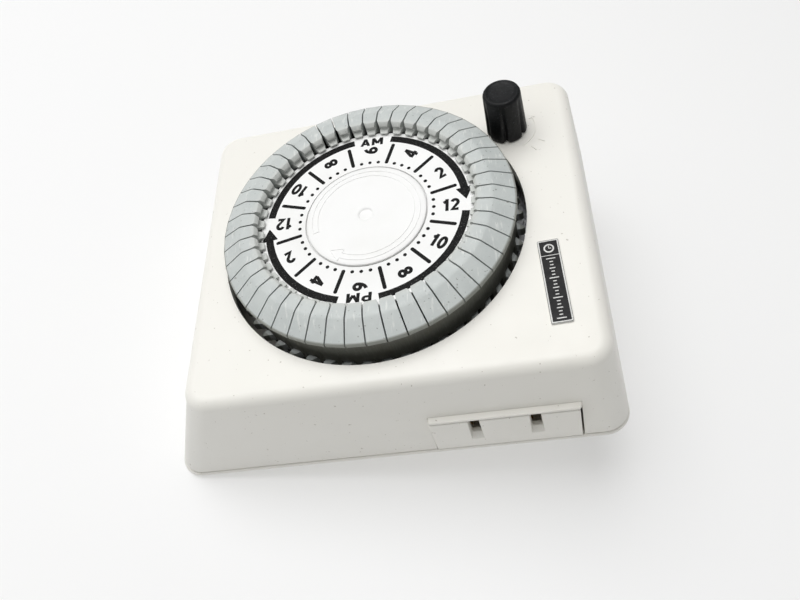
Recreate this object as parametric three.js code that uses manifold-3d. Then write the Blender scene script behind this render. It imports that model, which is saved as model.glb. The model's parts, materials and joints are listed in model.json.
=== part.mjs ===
// A 24-hour plug-in timer for lamps and appliances: a sloped case with a turning dial, 48 trippers,
// an override knob, a two-slot outlet in one side and two plug blades on the back.
// Millimetres. The back of the case is the plane Z = 0 and the plug's centre is the origin.
// The dial faces +Z, and +X points up the wall when the timer is plugged in.

import * as THREE from "three";
import { mergeVertices } from "three/addons/utils/BufferGeometryUtils.js";
import Module from "manifold-3d";

const wasm = await Module();
wasm.setup();

// ---------------------------------------------------------------- driving dimensions

const FIT = 0.3; // running gap between neighbouring pieces
const DEG = Math.PI / 180;

// Case: a rounded rectangle at the back and a smaller one at the front.
const CASE_HEIGHT = 26.2;
const CASE_BACK = { x0: -77, x1: 25.8, y0: -42.5, y1: 42.5 };
const CASE_FRONT = { x0: -64.3, x1: 22.9, y0: -38.3, y1: 39.3 };
const CASE_CORNER = 5.5;
const CASE_EDGE_ROUND = 2.8;
const WALL = 2;
const FLANGE = 1.2; // edge of the rear cover that shows below the housing
const COVER_THICKNESS = 2.6;
const SPLIT_GAP = 0.2;

// Dial and tripper ring, about an axis parallel to Z.
const DIAL_X = -24.5;
const DIAL_Y = 1.5;
const DIAL_Z = 31.2; // printed face
const DIAL_OPENING_R = 34.6;
const TRIPPERS = 48;
const PITCH = 360 / TRIPPERS;
const FIRST_TRIPPER = 12; // angle from +X, at rest, of a tripper that is centred on a two-hour mark
const SIDE_GAP = 0.15; // taken from each side of a tripper
const PIVOT_R = 28;
const PIVOT_Z = 27;
const PIVOT_WIRE_R = 0.6;
const LUG_TIP_R = 33.8;
const LUG_Z0 = 19.6;
const LUG_Z1 = 22.6;
const WINDOW_Z0 = 18.6; // a lug dips as it draws back

// Override knob, star wheel and switch cam, about one axis.
const KNOB_X = 8;
const KNOB_Y = 24.6;
const KNOB_BASE_R = 4.65;
const KNOB_TOP_R = 4.25;
const KNOB_TOP_Z = 38;
const SHAFT_R = 2;
const STAR_POINTS = 12;
const STAR_TIP_R = 5.85; // passes the lugs with a small gap
const STAR_ROOT_R = 4.3;
const DETENT_Y = 6.25; // inner face of the spring strip, from the knob's axis
const COLLAR_GAP = 0.6; // leaves the lugs room inside the collar
const STAR_PHASE = 16.7; // puts a point between two tripper lugs
const CAM_LOBES = 6;
const CAM_HIGH_R = 6.3;
const CAM_LOW_R = 5.1;
const CAM_Z0 = 14.6;
const CAM_Z1 = 17.8;

// Outlet and plug, to the North American two-pin pattern.
const BLADE_PITCH = 12.7;
const BLADE_THICKNESS = 1.5;
const BLADE_LENGTH = 17;
const LINE_BLADE_WIDTH = 6.35;
const NEUTRAL_BLADE_WIDTH = 7.9;
const OUTLET_HALF_WIDTH = 15.5;
const OUTLET_TOP = 13.4;
const OUTLET_LEDGE = 0.5;
const OUTLET_FACE_Y = -42.4;
const OUTLET_BACK_Y = -33;
const SLOT_Z0 = 5.6;
const SLOT_Z1 = 12;
const SLOT_WIDTH = 2.3;

// Gear train, from the dial gear down to the motor.
const DIAL_GEAR_TEETH = 72;
const WHEEL_TEETH = 36;
const PINION_TEETH = 9;
const DRIVE_MODULE = 0.6;
const TRAIN_MODULE = 0.5;
const GEAR_2_DIRECTION = -30.1; // from the dial axis
const GEAR_1_DIRECTION = 170; // from gear 2
const MOTOR_DIRECTION = 190; // from gear 1
const PLATE_Z0 = 11.4;
const PLATE_Z1 = 12.6;
const AXLE_R = 1;

const SCREWS = [
  [-60.5, -34],
  [-60.5, 34],
  [19.3, -33.6],
  [18.6, 34],
];
const PLATE_POSTS = [
  [-45, -20],
  [-45, 16],
  [0.6, -22],
  [9, 12],
];

// ---------------------------------------------------------------- materials

const plastic = (color, roughness) => new THREE.MeshStandardMaterial({ color, roughness, metalness: 0 });
const metal = (color, roughness) => new THREE.MeshStandardMaterial({ color, roughness, metalness: 1 });

const HOUSING_WHITE = plastic(0xf4f3ee, 0.45);
const DIAL_WHITE = plastic(0xf8f8f6, 0.5);
const TRIPPER_GREY = plastic(0xc6cbc8, 0.5);
const CARRIER_BLACK = plastic(0x22221f, 0.55);
const KNOB_BLACK = plastic(0x0c0c0d, 0.4);
const GEAR_NATURAL = plastic(0xe7e2d2, 0.5);
const BADGE_BLACK = plastic(0x111111, 0.35);
const BRASS = metal(0xc9a454, 0.35);
const STEEL = metal(0xa9adb0, 0.35);
const COPPER = metal(0xb87448, 0.35);

// ---------------------------------------------------------------- solids

// A closed geometry as a solid. A profile may run either way round, so one that is inside out is turned.
function solid(geometry) {
  const bare = geometry.clone();
  bare.deleteAttribute("normal");
  bare.deleteAttribute("uv");
  const merged = mergeVertices(bare, 1e-4);
  const vertProperties = merged.attributes.position.array;
  const triVerts = new Uint32Array(merged.index.array);
  const made = new wasm.Manifold(new wasm.Mesh({ numProp: 3, vertProperties, triVerts }));
  if (made.volume() > 0) return made;
  triVerts.reverse();
  return new wasm.Manifold(new wasm.Mesh({ numProp: 3, vertProperties, triVerts }));
}

function geometryOf(body) {
  const mesh = body.getMesh();
  const geometry = new THREE.BufferGeometry();
  geometry.setAttribute("position", new THREE.BufferAttribute(new Float32Array(mesh.vertProperties), 3));
  geometry.setIndex(new THREE.BufferAttribute(new Uint32Array(mesh.triVerts), 1));
  return geometry;
}

const union = (bodies) => bodies.reduce((all, one) => all.add(one));

function box(x0, x1, y0, y1, z0, z1) {
  const geometry = new THREE.BoxGeometry(x1 - x0, y1 - y0, z1 - z0);
  return solid(geometry.translate((x0 + x1) / 2, (y0 + y1) / 2, (z0 + z1) / 2));
}

function rod(x, y, radius, z0, z1, sides = 24) {
  const geometry = new THREE.CylinderGeometry(radius, radius, z1 - z0, sides);
  return solid(geometry.rotateX(Math.PI / 2).translate(x, y, (z0 + z1) / 2));
}

// A body of revolution about Z from a closed outline of [radius, z] points.
function turned(outline, sides, x = 0, y = 0) {
  const points = [...outline, outline[0]].map(([r, z]) => new THREE.Vector2(r, z));
  return solid(new THREE.LatheGeometry(points, sides).rotateX(Math.PI / 2).translate(x, y, 0));
}

// An outline in the XY plane, raised from z0 to z1, with optional holes as [x, y, radius].
function raised(outline, z0, z1, holes = []) {
  const shape = new THREE.Shape(outline.map(([x, y]) => new THREE.Vector2(x, y)));
  for (const [x, y, radius] of holes) {
    const hole = new THREE.Path();
    hole.absarc(x, y, radius, 0, 2 * Math.PI, true);
    shape.holes.push(hole);
  }
  const options = { depth: z1 - z0, bevelEnabled: false, curveSegments: 10 };
  return solid(new THREE.ExtrudeGeometry(shape, options).translate(0, 0, z0));
}

// An outline of [across, z] points, pushed along Y for a depth centred on Y = 0.
function pushed(outline, depth) {
  const shape = new THREE.Shape(outline.map(([a, z]) => new THREE.Vector2(a, z)));
  const geometry = new THREE.ExtrudeGeometry(shape, { depth, bevelEnabled: false });
  return solid(geometry.rotateX(Math.PI / 2).translate(0, depth / 2, 0));
}

// A solid through a stack of loops of equal length, closed by a fan at each end.
function lofted(loops) {
  const count = loops[0].length;
  const positions = loops.flat(2);
  const index = [];
  const addCap = (loopStart, facesUp) => {
    const centre = positions.length / 3;
    const sum = [0, 0, 0];
    for (let i = 0; i < count; i++) {
      for (let k = 0; k < 3; k++) sum[k] += positions[3 * (loopStart + i) + k] / count;
    }
    positions.push(...sum);
    for (let i = 0; i < count; i++) {
      const a = loopStart + i;
      const b = loopStart + ((i + 1) % count);
      index.push(...(facesUp ? [a, b, centre] : [b, a, centre]));
    }
  };
  for (let level = 0; level + 1 < loops.length; level++) {
    for (let i = 0; i < count; i++) {
      const a = level * count + i;
      const b = level * count + ((i + 1) % count);
      index.push(a, b, b + count, a, b + count, a + count);
    }
  }
  addCap(0, false);
  addCap((loops.length - 1) * count, true);
  const geometry = new THREE.BufferGeometry();
  geometry.setAttribute("position", new THREE.Float32BufferAttribute(positions, 3));
  geometry.setIndex(index);
  return solid(geometry);
}

// ---------------------------------------------------------------- case

function roundedLoop({ x0, x1, y0, y1 }, radius, z) {
  const steps = 6;
  const corners = [
    [x1 - radius, y1 - radius, 0],
    [x0 + radius, y1 - radius, 90],
    [x0 + radius, y0 + radius, 180],
    [x1 - radius, y0 + radius, 270],
  ];
  return corners.flatMap(([cx, cy, start]) =>
    Array.from({ length: steps + 1 }, (_, i) => {
      const angle = (start + (90 * i) / steps) * DEG;
      return [cx + radius * Math.cos(angle), cy + radius * Math.sin(angle), z];
    }),
  );
}

// The case's outline at a height, drawn in by an inset.
function caseLoop(z, inset, level = z) {
  const t = z / CASE_HEIGHT;
  const at = (side) => CASE_BACK[side] + (CASE_FRONT[side] - CASE_BACK[side]) * t;
  const outline = { x0: at("x0") + inset, x1: at("x1") - inset, y0: at("y0") + inset, y1: at("y1") - inset };
  return roundedLoop(outline, CASE_CORNER - inset, level);
}

function housingOuter() {
  const start = CASE_HEIGHT - CASE_EDGE_ROUND;
  const loops = [caseLoop(FLANGE + SPLIT_GAP, 0), caseLoop(start, 0)];
  for (let step = 1; step <= 4; step++) {
    const angle = step * 22.5 * DEG;
    const inset = CASE_EDGE_ROUND * (1 - Math.cos(angle));
    loops.push(caseLoop(start, inset, start + CASE_EDGE_ROUND * Math.sin(angle)));
  }
  return lofted(loops);
}

function frontHousing() {
  const ceiling = CASE_HEIGHT - WALL;
  const inside = lofted([caseLoop(0, WALL), caseLoop(ceiling, WALL)]);
  const collarR = DIAL_OPENING_R + COLLAR_GAP;
  const collarOutline = [
    [collarR, 21],
    [collarR + 1.2, 21],
    [collarR + 1.2, ceiling + 0.5],
    [collarR, ceiling + 0.5],
  ];
  const collar = turned(collarOutline, 64, DIAL_X, DIAL_Y);
  const bosses = SCREWS.map(([x, y]) => rod(x, y, 3.2, COVER_THICKNESS + FIT, ceiling + 0.5, 20));
  const cuts = [
    rod(DIAL_X, DIAL_Y, DIAL_OPENING_R, 18, CASE_HEIGHT + 1, 64),
    rod(KNOB_X, KNOB_Y, SHAFT_R + FIT, 20, CASE_HEIGHT + 1, 24),
    rod(KNOB_X, KNOB_Y, STAR_TIP_R + 0.8, LUG_Z0 - 1, ceiling, 32),
    box(-OUTLET_HALF_WIDTH - FIT, OUTLET_HALF_WIDTH + FIT, -50, OUTLET_BACK_Y, 0, OUTLET_TOP + FIT),
    ...SCREWS.map(([x, y]) => rod(x, y, 1.7, 0, 14, 16)),
  ];
  const shell = housingOuter().subtract(inside);
  return union([shell, collar, ...bosses]).subtract(union(cuts));
}

function rearCover() {
  const floor = lofted([caseLoop(0, 0.4), caseLoop(0.4, 0), caseLoop(FLANGE, 0)]);
  const tray = lofted([caseLoop(FLANGE - 0.2, WALL + FIT), caseLoop(COVER_THICKNESS, WALL + FIT)]);
  const posts = PLATE_POSTS.map(([x, y]) => rod(x, y, 2.4, COVER_THICKNESS - 0.5, PLATE_Z0 - FIT, 16));
  const slot = (width, y) =>
    box(-width / 2 - FIT, width / 2 + FIT, y - BLADE_THICKNESS / 2 - FIT, y + BLADE_THICKNESS / 2 + FIT, -1, 4);
  const cuts = [
    slot(LINE_BLADE_WIDTH, BLADE_PITCH / 2),
    slot(NEUTRAL_BLADE_WIDTH, -BLADE_PITCH / 2),
    box(-OUTLET_HALF_WIDTH - FIT, OUTLET_HALF_WIDTH + FIT, -50, OUTLET_BACK_Y + FIT, FLANGE, 4),
    ...SCREWS.flatMap(([x, y]) => [rod(x, y, 1.7, -1, 4, 16), rod(x, y, 3.1, -1, 1.7, 20)]),
  ];
  return union([floor, tray, ...posts]).subtract(union(cuts));
}

function coverScrew() {
  const outline = [
    [0, 0.3],
    [2.8, 0.3],
    [2.8, 1.3],
    [1.4, 1.5],
    [1.4, 12],
    [0, 13],
  ];
  const cross = box(-1.6, 1.6, -0.4, 0.4, 0, 1).add(box(-0.4, 0.4, -1.6, 1.6, 0, 1));
  return turned(outline, 12).subtract(cross);
}

function badgePlate() {
  return box(-2.2, 2.2, -10.1, 10.1, 0, 0.45);
}

// ---------------------------------------------------------------- outlet and plug

function outletInsert() {
  const outline = [
    [OUTLET_FACE_Y, FLANGE + FIT],
    [OUTLET_FACE_Y, OUTLET_TOP - 1.3],
    [OUTLET_FACE_Y - OUTLET_LEDGE, OUTLET_TOP - 1],
    [OUTLET_FACE_Y - OUTLET_LEDGE, OUTLET_TOP - 0.4],
    [OUTLET_FACE_Y, OUTLET_TOP],
    [OUTLET_BACK_Y - FIT, OUTLET_TOP],
    [OUTLET_BACK_Y - FIT, FLANGE + FIT],
  ];
  const block = solid(geometryOf(pushed(outline, 2 * OUTLET_HALF_WIDTH)).rotateZ(Math.PI / 2).scale(-1, 1, 1));
  const cavity = box(-13.2, 13.2, OUTLET_FACE_Y + 3, OUTLET_BACK_Y + 1, 3, OUTLET_TOP - 1.2);
  const slots = [-1, 1].flatMap((side) => {
    const x = (side * BLADE_PITCH) / 2;
    const half = SLOT_WIDTH / 2;
    const mouth = (grow, y) => [
      [x - half - grow, y, SLOT_Z0 - 2 * grow],
      [x + half + grow, y, SLOT_Z0 - 2 * grow],
      [x + half + grow, y, SLOT_Z1],
      [x - half - grow, y, SLOT_Z1],
    ];
    const funnel = lofted([mouth(0.05, OUTLET_FACE_Y + 1.4), mouth(0.4, OUTLET_FACE_Y - 0.2)]);
    return [box(x - half, x + half, OUTLET_FACE_Y - 1, OUTLET_FACE_Y + 4, SLOT_Z0, SLOT_Z1), funnel];
  });
  return block.subtract(union([cavity, ...slots]));
}

// A flat pin with chamfered tip and a round hole, standing out of the back, with its inner tail.
function plugBlade(width, tail) {
  const half = width / 2;
  const tip = -BLADE_LENGTH;
  const outline = [
    [-half, tail],
    [-half, tip + 1.6],
    [-half + 1.3, tip],
    [half - 1.3, tip],
    [half, tip + 1.6],
    [half, tail],
  ];
  const hole = solid(new THREE.CylinderGeometry(1.6, 1.6, 4, 16).translate(0, 0, tip + 5.2));
  return pushed(outline, BLADE_THICKNESS).subtract(hole);
}

function lineBlade() {
  const y = BLADE_PITCH / 2;
  return union([
    plugBlade(LINE_BLADE_WIDTH, 8).translate(0, y, 0),
    box(2, 16, y - 0.5, y + 0.5, 4.5, 8),
    box(15.4, 17.4, y - 1.5, y + 0.5, 4.5, CAM_Z1),
  ]);
}

function neutralBlade() {
  const y = -BLADE_PITCH / 2;
  return union([
    plugBlade(NEUTRAL_BLADE_WIDTH, 8).translate(0, y, 0),
    box(-3.9, -2.9, -30.6, y, 4.5, 8),
  ]);
}

// A folded spring clip that grips a blade pushed in through a slot.
function outletContact(side) {
  const x = (side * BLADE_PITCH) / 2;
  const z0 = 4.2;
  const z1 = 11.6;
  const front = -38.6;
  const back = -31.4;
  return union([
    box(x - 1.5, x - 0.9, front, back, z0, z1),
    box(x + 0.9, x + 1.5, front, back, z0, z1),
    box(x - 1.5, x + 1.5, back - 0.6, back, z0, z1),
  ]);
}

// ---------------------------------------------------------------- dial and trippers

function tripperCarrier() {
  const outline = [
    [2.6, 17.8],
    [32.1, 17.8],
    [32.1, 29.2],
    [30.9, 29.2],
    [30.9, 19.2],
    [24.6, 19.2],
    [24.6, 29.9],
    [22.9, 29.9],
    [22.9, 19.2],
    [5.5, 19.2],
    [5.5, 28],
    [2.6, 28],
  ];
  const windows = eachTripper((angle) =>
    box(30, 33, -1.7, 1.7, WINDOW_Z0, LUG_Z1 + 0.4).rotate([0, 0, angle]),
  );
  // The facets of the turned body are set so that a window sits in the middle of one.
  return turned(outline, TRIPPERS).rotate([0, 0, FIRST_TRIPPER + PITCH / 2]).subtract(union(windows));
}

function eachTripper(make) {
  return Array.from({ length: TRIPPERS }, (_, i) => make(FIRST_TRIPPER + PITCH * i, i));
}

function dialFace() {
  const outline = [
    [0, DIAL_Z - 1],
    [24.3, DIAL_Z - 1],
    [24.3, DIAL_Z],
    [13.9, DIAL_Z],
    [13.9, DIAL_Z - 0.6],
    [0, DIAL_Z - 0.6],
  ];
  return turned(outline, 48);
}

function dialCentreCap() {
  const outline = [
    [0, DIAL_Z - 0.3],
    [13.6, DIAL_Z - 0.3],
    [13.6, DIAL_Z],
    [13.3, DIAL_Z + 0.3],
    [1.3, DIAL_Z + 0.3],
    [0, DIAL_Z],
  ];
  return turned(outline, 48);
}

function pivotRing() {
  return solid(new THREE.TorusGeometry(PIVOT_R, PIVOT_WIRE_R, 6, TRIPPERS).translate(0, 0, PIVOT_Z));
}

// Half the room a tripper has at a radius.
const halfWidth = (r) => r * Math.tan((PITCH / 2) * DEG) - SIDE_GAP;

// One tripper, pointing along +X: a sloped head, a stem with a notch for the pivot wire, and a pointed lug.
function tripper() {
  const head = pushed(
    [
      [23, 31.55],
      [25, 31.55],
      [25, 30.5],
      [26.2, 30.3],
      [33, 30.3],
      [33, 31.5],
      [28.2, 34.1],
      [24.95, 34.2],
      [24.3, 33.4],
      [24.2, 32.1],
      [23, 31.95],
    ],
    6,
  );
  const headPlan = raised(
    [
      [22.5, -0.75],
      [24.3, -0.95],
      [25.4, -halfWidth(25.4)],
      [34, -halfWidth(34)],
      [34, halfWidth(34)],
      [25.4, halfWidth(25.4)],
      [24.3, 0.95],
      [22.5, 0.75],
    ],
    30,
    35,
  );
  const stem = pushed(
    [
      [26.2, LUG_Z0],
      [30.2, LUG_Z0],
      [30.2, 30.4],
      [26.2, 30.4],
    ],
    2.6,
  );
  const notch = box(26, PIVOT_R + 0.9, -2, 2, PIVOT_Z - 0.9, PIVOT_Z + 0.9);
  const lug = raised(
    [
      [30, -1.4],
      [33.2, -1.4],
      [LUG_TIP_R, -0.9],
      [31.2, 1.4],
      [30, 1.4],
    ],
    LUG_Z0,
    LUG_Z1,
  );
  return union([head.intersect(headPlan), stem.subtract(notch), lug]);
}

// The other half of the trippers, tied together by a thin hoop behind their stems.
function tripperBank() {
  const hoopOutline = [
    [24.9, 25.1],
    [25.5, 25.1],
    [25.5, 26],
    [24.9, 26],
  ];
  const one = tripper().add(box(25.2, 26.6, -0.9, 0.9, 25.1, 26));
  const bank = eachTripper((angle, i) => (i % 2 ? one.rotate([0, 0, angle]) : null));
  return union([turned(hoopOutline, TRIPPERS), ...bank.filter(Boolean)]);
}

// ---------------------------------------------------------------- knob, star wheel and switch

function overrideKnob() {
  const base = CASE_HEIGHT + 0.25;
  const outline = [
    [SHAFT_R + FIT, base],
    [KNOB_BASE_R - 0.3, base],
    [KNOB_BASE_R, base + 0.3],
    [KNOB_TOP_R, KNOB_TOP_Z - 0.8],
    [KNOB_TOP_R - 0.8, KNOB_TOP_Z],
    [0, KNOB_TOP_Z],
    [0, 34],
    [SHAFT_R + FIT, 34],
  ];
  return turned(outline, 24);
}

// A wheel outline that goes in and out between two radii.
function wavyOutline(count, high, low, phase, steps) {
  return Array.from({ length: count * steps }, (_, i) => {
    const wave = 0.5 + 0.5 * Math.cos((2 * Math.PI * i) / steps);
    const angle = (phase + (360 * i) / (count * steps)) * DEG;
    const radius = low + (high - low) * wave;
    return [radius * Math.cos(angle), radius * Math.sin(angle)];
  });
}

function starWheel() {
  const star = raised(wavyOutline(STAR_POINTS, STAR_TIP_R, STAR_ROOT_R, STAR_PHASE, 2), 19.7, 22.5);
  return star.add(rod(0, 0, SHAFT_R, 10.6, 33.6, 20));
}

function switchCam() {
  const outline = wavyOutline(CAM_LOBES, CAM_HIGH_R, CAM_LOW_R, 30, 6);
  return raised(outline, CAM_Z0, CAM_Z1, [[0, 0, SHAFT_R + FIT]]);
}

// A flat strip beside the star wheel, with a tooth that drops between two star points.
function detentSpring() {
  const gapAngle = STAR_PHASE + 75 - 90;
  const strip = box(-9, 7.5, DETENT_Y, DETENT_Y + 0.5, 19.8, 22.3);
  const tooth = raised(
    [
      [-1.6, DETENT_Y + 0.3],
      [0, DETENT_Y - 1.5],
      [1.6, DETENT_Y + 0.3],
    ],
    19.8,
    22.3,
  );
  return strip.add(tooth).rotate([0, 0, gapAngle]).translate(KNOB_X, KNOB_Y, 0);
}

const ARM_X = 16.5;
const ARM_ROOT_Y = 8.6;

function contactArm() {
  const follower = raised(
    [
      [ARM_X, KNOB_Y - 2],
      [ARM_X, KNOB_Y + 2],
      [KNOB_X + CAM_HIGH_R + FIT, KNOB_Y],
    ],
    CAM_Z0 + 0.4,
    CAM_Z1 - 0.4,
  );
  return union([
    box(ARM_X - 0.3, ARM_X + 0.3, ARM_ROOT_Y - 0.8, 29.2, CAM_Z0, CAM_Z1),
    rod(ARM_X, ARM_ROOT_Y, 0.9, CAM_Z0, CAM_Z1, 16),
    follower,
    box(ARM_X, ARM_X + 1.1, 26.4, 28.4, CAM_Z0 + 0.6, CAM_Z1 - 0.6),
  ]);
}

function fixedContact() {
  return union([
    box(19.9, 20.5, -27.4, 29.4, CAM_Z0, CAM_Z1),
    box(19, 20.1, 26.4, 28.4, CAM_Z0 + 0.6, CAM_Z1 - 0.6),
    box(8.4, 20.5, -28, -27.4, CAM_Z0, CAM_Z1),
    box(8.4, 9, -31.2, -27.4, 9.5, CAM_Z1),
  ]);
}

// ---------------------------------------------------------------- gear train and motor

// A toothed outline whose tooth number 0 is centred at the phase angle.
function gearOutline(teeth, module, phase) {
  const tip = module * (teeth / 2 + 0.8);
  const root = module * (teeth / 2 - 1.05);
  const corners = [
    [-0.3, root],
    [-0.14, tip],
    [0.14, tip],
    [0.3, root],
  ];
  return Array.from({ length: teeth }, (_, i) =>
    corners.map(([part, radius]) => {
      const angle = (phase + ((i + part) * 360) / teeth) * DEG;
      return [radius * Math.cos(angle), radius * Math.sin(angle)];
    }),
  ).flat();
}

const along = ([x, y], distance, direction) => [
  x + distance * Math.cos(direction * DEG),
  y + distance * Math.sin(direction * DEG),
];
const driveDistance = (DRIVE_MODULE * (DIAL_GEAR_TEETH + PINION_TEETH)) / 2;
const trainDistance = (TRAIN_MODULE * (WHEEL_TEETH + PINION_TEETH)) / 2;
const GEAR_2_AT = along([DIAL_X, DIAL_Y], driveDistance, GEAR_2_DIRECTION);
const GEAR_1_AT = along(GEAR_2_AT, trainDistance, GEAR_1_DIRECTION);
const MOTOR_AT = along(GEAR_1_AT, trainDistance, MOTOR_DIRECTION);
const HALF_PINION_TOOTH = 180 / PINION_TEETH;

function dialGear() {
  const outline = gearOutline(DIAL_GEAR_TEETH, DRIVE_MODULE, GEAR_2_DIRECTION);
  return raised(outline, 15.9, 17.5, [[0, 0, 2.6]]);
}

function gear2() {
  const wheel = raised(gearOutline(WHEEL_TEETH, TRAIN_MODULE, GEAR_1_DIRECTION), 14.4, 15.6);
  const pinionPhase = GEAR_2_DIRECTION + 180 + HALF_PINION_TOOTH;
  const pinion = raised(gearOutline(PINION_TEETH, DRIVE_MODULE, pinionPhase), 15.5, 17.5);
  return wheel.add(pinion).subtract(rod(0, 0, AXLE_R + FIT, 10, 20, 16));
}

function gear1() {
  const wheel = raised(gearOutline(WHEEL_TEETH, TRAIN_MODULE, MOTOR_DIRECTION), 12.9, 14.1);
  const pinionPhase = GEAR_1_DIRECTION + 180 + HALF_PINION_TOOTH;
  const pinion = raised(gearOutline(PINION_TEETH, TRAIN_MODULE, pinionPhase), 14, 15.6);
  return wheel.add(pinion).subtract(rod(0, 0, AXLE_R + FIT, 10, 20, 16));
}

function motorPinion() {
  const phase = MOTOR_DIRECTION + 180 + HALF_PINION_TOOTH;
  const pinion = raised(gearOutline(PINION_TEETH, TRAIN_MODULE, phase), 12.9, 14.2);
  return pinion.add(rod(0, 0, AXLE_R, 11.4, 13.5, 16));
}

function motorCan() {
  const [x, y] = MOTOR_AT;
  const outline = [
    [0, 2.9],
    [17.4, 2.9],
    [18, 3.5],
    [18, 10.5],
    [17.4, 11.1],
    [0, 11.1],
  ];
  return turned(outline, 40, x, y);
}

function gearPlate() {
  const outline = [
    [-49, -24],
    [4, -26],
    [13.4, -14],
    [13.4, 31],
    [2, 31],
    [-10, 20],
    [-49, 20],
  ];
  const holes = [
    [...MOTOR_AT, 2],
    [KNOB_X, KNOB_Y, SHAFT_R + FIT],
  ];
  return raised(outline, PLATE_Z0, PLATE_Z1, holes);
}

const gearAxle = ([x, y], top) => rod(x, y, AXLE_R, PLATE_Z1 + 0.1, top, 16);

function dialAxle() {
  const outline = [
    [0, PLATE_Z1 + 0.1],
    [4, PLATE_Z1 + 0.1],
    [4, 13.8],
    [2.2, 13.8],
    [2.2, 29],
    [1.8, 29.4],
    [0, 29.4],
  ];
  return turned(outline, 24, DIAL_X, DIAL_Y);
}

// ---------------------------------------------------------------- assembly

const timer = new THREE.Group();

function place(name, body, material, parent = timer) {
  const mesh = new THREE.Mesh(body.isBufferGeometry ? body : geometryOf(body), material);
  mesh.name = name;
  parent.add(mesh);
  return mesh;
}

function groupAt(x, y, z = 0) {
  const group = new THREE.Group();
  group.position.set(x, y, z);
  timer.add(group);
  return group;
}

place("front_housing", frontHousing(), HOUSING_WHITE);
place("rear_cover", rearCover(), HOUSING_WHITE);
place("outlet_insert", outletInsert(), HOUSING_WHITE);
const badgeSpot = groupAt(13.8, -19.3, CASE_HEIGHT + 0.05);
badgeSpot.rotation.z = 2 * DEG;
place("badge_plate", badgePlate(), BADGE_BLACK, badgeSpot);
const screwShape = geometryOf(coverScrew());
SCREWS.forEach(([x, y], i) => place(`cover_screw_${i + 1}`, screwShape, STEEL, groupAt(x, y)));

place("line_blade", lineBlade(), BRASS);
place("neutral_blade", neutralBlade(), BRASS);
place("line_outlet_contact", outletContact(1), BRASS);
place("neutral_outlet_contact", outletContact(-1), BRASS);

const dial = groupAt(DIAL_X, DIAL_Y);
place("tripper_carrier", tripperCarrier(), CARRIER_BLACK, dial);
place("dial_face", dialFace(), DIAL_WHITE, dial);
place("dial_centre_cap", dialCentreCap(), DIAL_WHITE, dial);
place("dial_gear", dialGear(), GEAR_NATURAL, dial);
place("pivot_ring", geometryOf(pivotRing()), STEEL, dial);
place("tripper_bank", tripperBank(), TRIPPER_GREY, dial);
const tripperShape = geometryOf(tripper());
eachTripper((angle, i) => {
  if (i % 2) return;
  const number = String(i / 2 + 1).padStart(2, "0");
  place(`tripper_${number}`, tripperShape, TRIPPER_GREY, dial).rotation.z = angle * DEG;
});
place("dial_axle", dialAxle(), STEEL);

const knob = groupAt(KNOB_X, KNOB_Y);
place("override_knob", overrideKnob(), KNOB_BLACK, knob);
place("star_wheel", starWheel(), GEAR_NATURAL, knob);
place("switch_cam", switchCam(), GEAR_NATURAL, knob);
place("detent_spring", detentSpring(), STEEL);
place("contact_arm", contactArm(), COPPER);
place("fixed_contact", fixedContact(), COPPER);

place("gear_2", gear2(), GEAR_NATURAL, groupAt(...GEAR_2_AT));
place("gear_1", gear1(), GEAR_NATURAL, groupAt(...GEAR_1_AT));
place("motor_pinion", motorPinion(), BRASS, groupAt(...MOTOR_AT));
place("motor_can", motorCan(), STEEL);
place("gear_plate", gearPlate(), STEEL);
place("gear_axle_1", gearAxle(GEAR_1_AT, 15.5), STEEL);
place("gear_axle_2", gearAxle(GEAR_2_AT, 17.4), STEEL);

export default timer;
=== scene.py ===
"""Looks for the plug-in timer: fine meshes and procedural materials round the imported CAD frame.

Shapes are worked out in millimetres and stored in metres. Every piece's mesh is in the part's own frame:
the back of the case is Z = 0, the plug's centre is the origin, and the dial faces +Z.
"""

import json
import math
import random

import bmesh
import bpy
from mathutils import Matrix, Vector

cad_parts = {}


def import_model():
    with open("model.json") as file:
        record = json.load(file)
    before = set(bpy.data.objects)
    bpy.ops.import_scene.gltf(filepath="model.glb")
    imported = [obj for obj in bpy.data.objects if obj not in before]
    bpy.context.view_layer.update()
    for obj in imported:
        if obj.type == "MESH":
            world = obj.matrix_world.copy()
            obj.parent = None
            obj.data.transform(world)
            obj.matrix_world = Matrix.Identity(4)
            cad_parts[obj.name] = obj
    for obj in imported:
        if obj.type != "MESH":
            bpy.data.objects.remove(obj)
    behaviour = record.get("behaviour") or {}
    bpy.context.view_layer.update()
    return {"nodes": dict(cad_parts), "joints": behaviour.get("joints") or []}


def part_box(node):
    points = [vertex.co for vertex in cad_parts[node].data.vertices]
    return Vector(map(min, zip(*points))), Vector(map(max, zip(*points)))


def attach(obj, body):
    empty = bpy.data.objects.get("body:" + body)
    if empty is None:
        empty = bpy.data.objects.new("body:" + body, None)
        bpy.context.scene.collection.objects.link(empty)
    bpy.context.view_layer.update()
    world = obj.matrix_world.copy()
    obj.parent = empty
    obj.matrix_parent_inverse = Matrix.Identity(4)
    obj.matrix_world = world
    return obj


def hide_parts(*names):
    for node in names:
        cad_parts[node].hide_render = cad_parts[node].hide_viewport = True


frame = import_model()
MM = 0.001
random.seed(7)

# ---------------- driving dimensions, in millimetres and degrees

JOINTS = {joint["name"]: joint for joint in frame["joints"]}
DIAL = Vector(JOINTS["dial_turn"]["pos_m"]) / MM
KNOB = Vector(JOINTS["knob_turn"]["pos_m"]) / MM
DIAL_Z = DIAL.z


def box_mm(node):
    low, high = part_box(node)
    return low / MM, high / MM


def centre_of(node):
    low, high = box_mm(node)
    return ((low.x + high.x) / 2, (low.y + high.y) / 2)


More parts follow.
